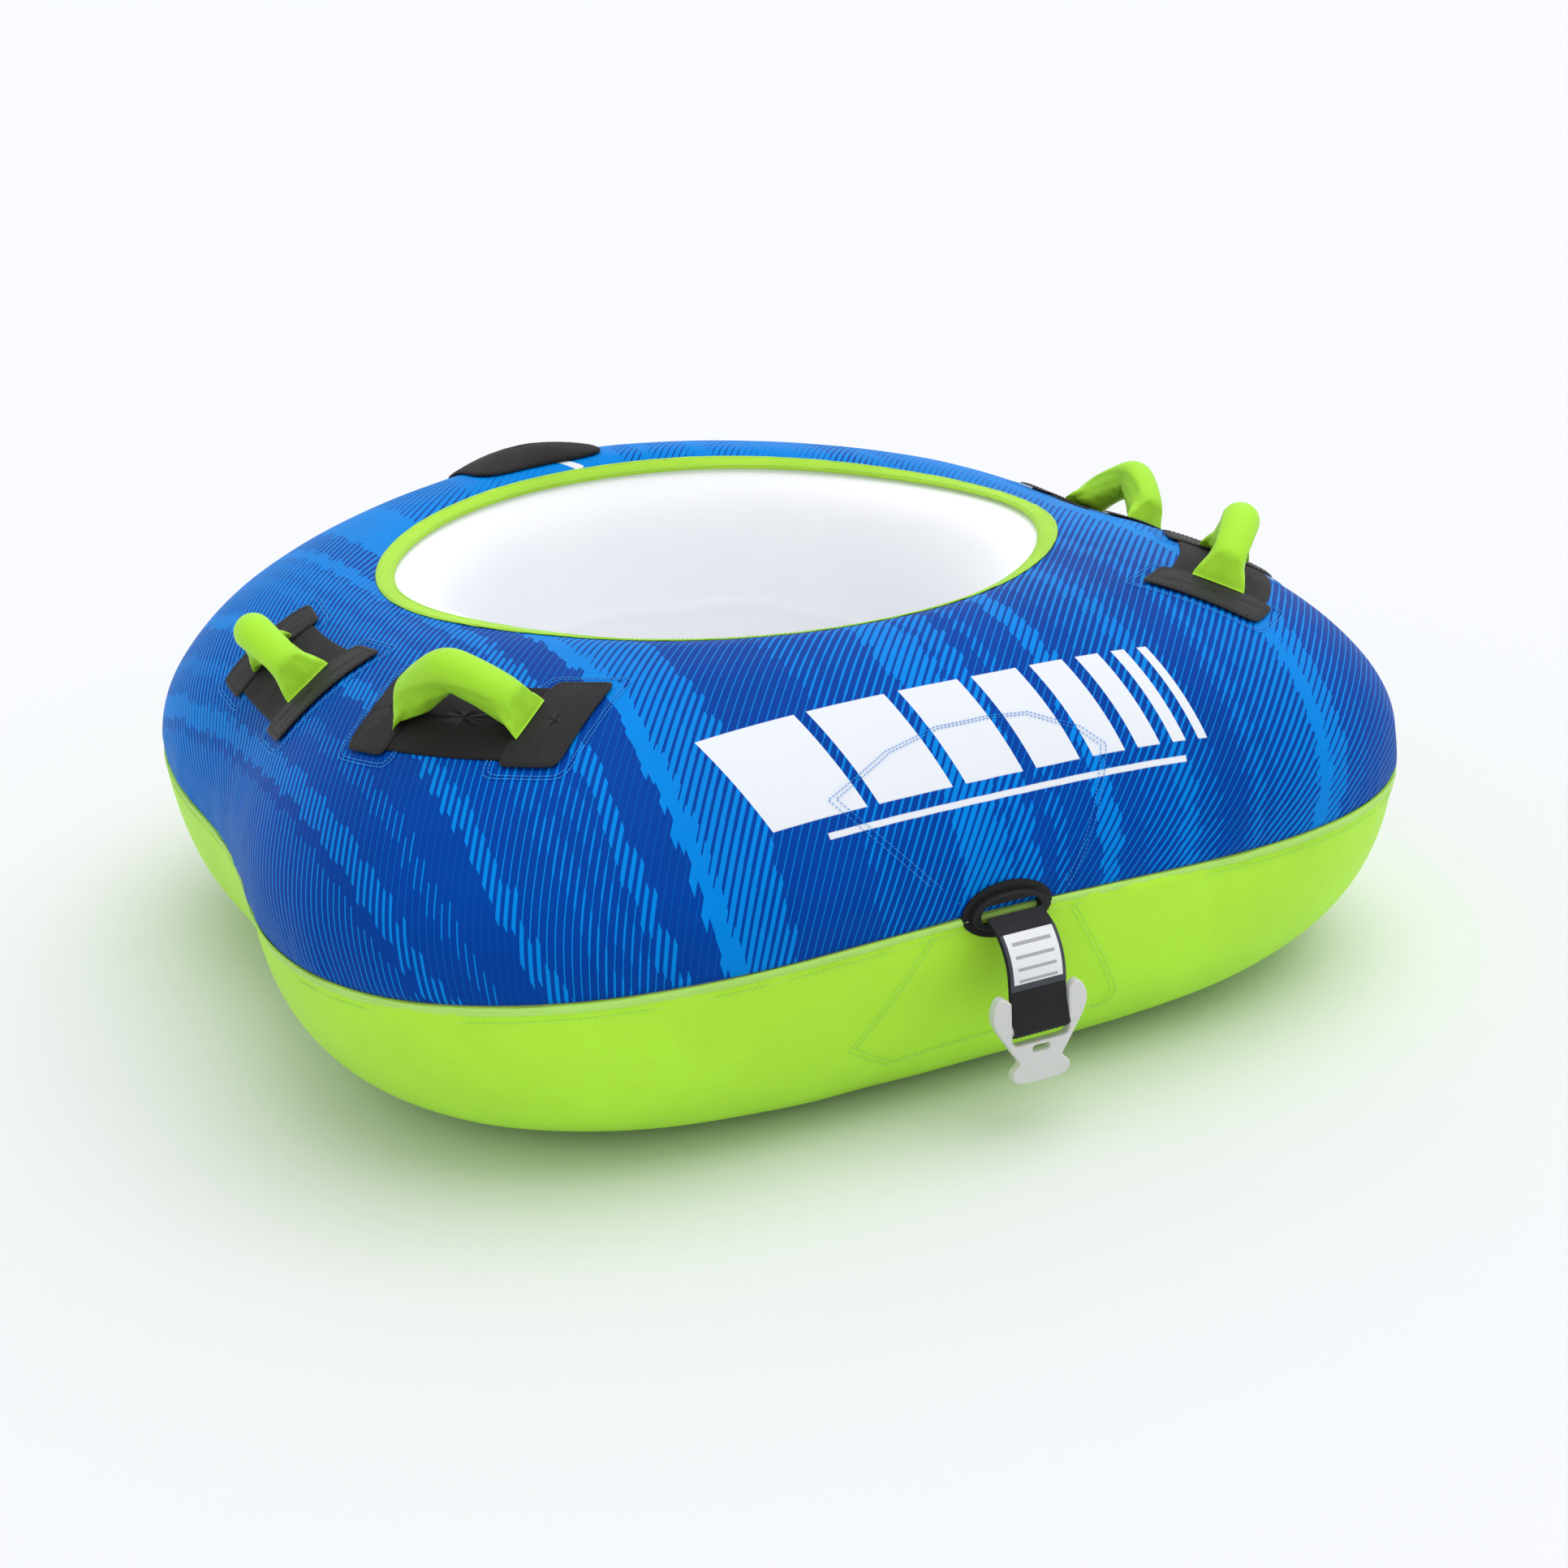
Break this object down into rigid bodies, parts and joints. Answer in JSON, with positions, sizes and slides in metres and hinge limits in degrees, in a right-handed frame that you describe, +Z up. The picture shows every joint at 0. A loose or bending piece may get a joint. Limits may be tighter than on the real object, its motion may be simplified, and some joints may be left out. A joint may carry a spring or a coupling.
{
  "type": "towable tube",
  "caption": "Inflated ring-shaped ride-on tube in a two-part sewn cover, with an open rider well, padded side grips and a front tow strap with a moulded quick-connect hook.",
  "frame": {"origin": "centre of the overall box at the level the tube stands on", "axes": "+Z up; -Y towards the tow point at the front of the tube; +X completes the right-handed frame"},
  "size_m": [1.0274, 1.1095, 0.3998],
  "materials": {
    "print_nylon": "satin",
    "lime_nylon": "satin",
    "white_pvc": "satin",
    "black_neoprene": "matte",
    "black_nylon": "matte",
    "black_webbing": "matte",
    "black_rubber": "satin",
    "white_nylon_moulding": "satin",
    "label_cloth": "matte",
    "foam": "matte",
    "liner_cloth": "matte",
    "valve_plastic": "satin"
  },
  "bodies": {
    "hull": {"bladder": "white_pvc", "top_cover": "print_nylon", "bottom_cover": "lime_nylon", "seam_tape": "liner_cloth", "opening_binding": "lime_nylon", "floor_panel": "liner_cloth", "tow_panel_upper": "liner_cloth", "tow_panel_lower": "liner_cloth", "harness_right": "black_webbing", "harness_left": "black_webbing", "tow_collar": "black_rubber", "valve_socket": "valve_plastic", "valve_flange": "white_pvc", "valve_disc": "black_rubber", "flap_loop_strip": "black_nylon", "grip_front_right_pad": "black_neoprene", "grip_front_right_end_patches": "black_nylon", "grip_front_right_ears": "lime_nylon", "grip_front_left_pad": "black_neoprene", "grip_front_left_end_patches": "black_nylon", "grip_front_left_ears": "lime_nylon", "grip_rear_right_pad": "black_neoprene", "grip_rear_right_end_patches": "black_nylon", "grip_rear_right_ears": "lime_nylon", "grip_rear_left_pad": "black_neoprene", "grip_rear_left_end_patches": "black_nylon", "grip_rear_left_ears": "lime_nylon"},
    "grip_front_right": {"grip_front_right_sleeve": "lime_nylon", "grip_front_right_foam": "foam", "grip_front_right_core": "black_webbing"},
    "grip_front_left": {"grip_front_left_sleeve": "lime_nylon", "grip_front_left_foam": "foam", "grip_front_left_core": "black_webbing"},
    "grip_rear_right": {"grip_rear_right_sleeve": "lime_nylon", "grip_rear_right_foam": "foam", "grip_rear_right_core": "black_webbing"},
    "grip_rear_left": {"grip_rear_left_sleeve": "lime_nylon", "grip_rear_left_foam": "foam", "grip_rear_left_core": "black_webbing"},
    "tow_strap": {"tow_strap": "black_webbing", "strap_label": "label_cloth"},
    "tow_hook": {"tow_hook": "white_nylon_moulding"},
    "valve_flap": {"valve_flap": "black_neoprene", "flap_hook_strip": "black_nylon"},
    "valve_retainer": {"valve_retainer": "valve_plastic"},
    "valve_cap": {"valve_cap": "valve_plastic"}
  },
  "joints": [
    {"name": "grip_front_right_lean", "type": "hinge", "parent": "hull", "child": "grip_front_right", "pos_m": [0.35513, -0.28625, 0.35999], "axis": [0.6012, 0.7977, -0.0479], "range_deg": [-40, 40], "stiffness_Nm_per_rad": 0.4},
    {"name": "grip_front_left_lean", "type": "hinge", "parent": "hull", "child": "grip_front_left", "pos_m": [-0.35513, -0.28625, 0.35999], "axis": [0.6012, -0.7977, 0.0479], "range_deg": [-40, 40], "stiffness_Nm_per_rad": 0.4},
    {"name": "grip_rear_right_lean", "type": "hinge", "parent": "hull", "child": "grip_rear_right", "pos_m": [0.42789, 0.00284, 0.33132], "axis": [0.0053, 0.9993, -0.0368], "range_deg": [-40, 40], "stiffness_Nm_per_rad": 0.4},
    {"name": "grip_rear_left_lean", "type": "hinge", "parent": "hull", "child": "grip_rear_left", "pos_m": [-0.42789, 0.00284, 0.33132], "axis": [0.0053, -0.9993, 0.0368], "range_deg": [-40, 40], "stiffness_Nm_per_rad": 0.4},
    {"name": "strap_swing", "type": "hinge", "parent": "hull", "child": "tow_strap", "pos_m": [0, -0.51482, 0.17911], "axis": [1, 0, 0], "range_deg": [-75, 6]},
    {"name": "hook_swing", "type": "hinge", "parent": "tow_strap", "child": "tow_hook", "pos_m": [0, -0.54882, 0.09896], "axis": [1, 0, 0], "range_deg": [-50, 30]},
    {"name": "flap_open", "type": "hinge", "parent": "hull", "child": "valve_flap", "pos_m": [-0.0441, 0.35239, 0.36985], "axis": [0.9908, 0.1346, 0.0158], "range_deg": [0, 110]},
    {"name": "retainer_lift", "type": "slide", "parent": "hull", "child": "valve_retainer", "axis": [-0.0493, 0.2069, 0.9771], "range_m": [0, 0.003]},
    {"name": "cap_turn", "type": "hinge", "parent": "valve_retainer", "child": "valve_cap", "pos_m": [-0.05162, 0.4123, 0.36701], "axis": [-0.0493, 0.2069, 0.9771], "range_deg": [0, 360]}
  ],
  "couplings": [
    {"joint": "retainer_lift", "follows": "cap_turn", "m_per_rad": 0.00047746}
  ]
}
